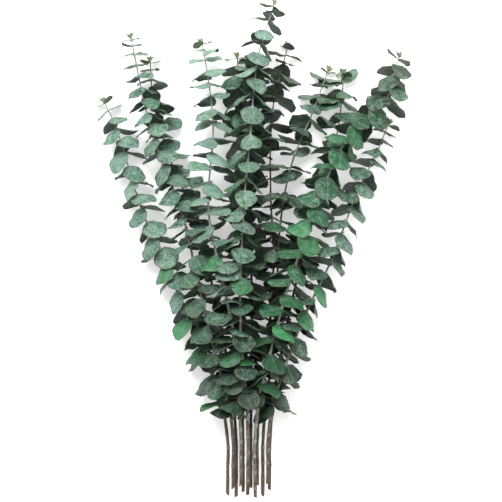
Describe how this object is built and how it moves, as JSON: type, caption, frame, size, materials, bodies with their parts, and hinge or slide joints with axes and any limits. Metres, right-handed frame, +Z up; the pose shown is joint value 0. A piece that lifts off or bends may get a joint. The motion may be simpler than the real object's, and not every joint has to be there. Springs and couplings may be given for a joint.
{
  "type": "dried eucalyptus bunch",
  "caption": "Loose fan of dried eucalyptus sprigs lying flat, with opposite pairs of round stalkless leaves and bare cut stems gathered at one end.",
  "frame": {"origin": "on the surface that the bunch lies on, under the middle of its bounding box", "axes": "+Y from the cut ends towards the tips, +X across the fan to the right when seen from above, +Z up"},
  "size_m": [0.3448, 0.5484, 0.0818],
  "materials": {
    "eucalyptus_leaf": "powdery matte",
    "eucalyptus_stem": "matte"
  },
  "bodies": {
    "root": {"sprig_centre_tall": "eucalyptus_leaf", "sprig_centre_left": "eucalyptus_leaf", "sprig_right_tall": "eucalyptus_leaf", "sprig_left_tall": "eucalyptus_leaf", "sprig_right_outer": "eucalyptus_leaf", "sprig_left_outer": "eucalyptus_leaf", "sprig_centre_behind": "eucalyptus_leaf", "sprig_right_slender": "eucalyptus_leaf", "sprig_left_behind": "eucalyptus_leaf", "sprig_right_straight": "eucalyptus_leaf", "sprig_right_leaning": "eucalyptus_leaf", "sprig_centre_under": "eucalyptus_leaf"}
  },
  "joints": []
}
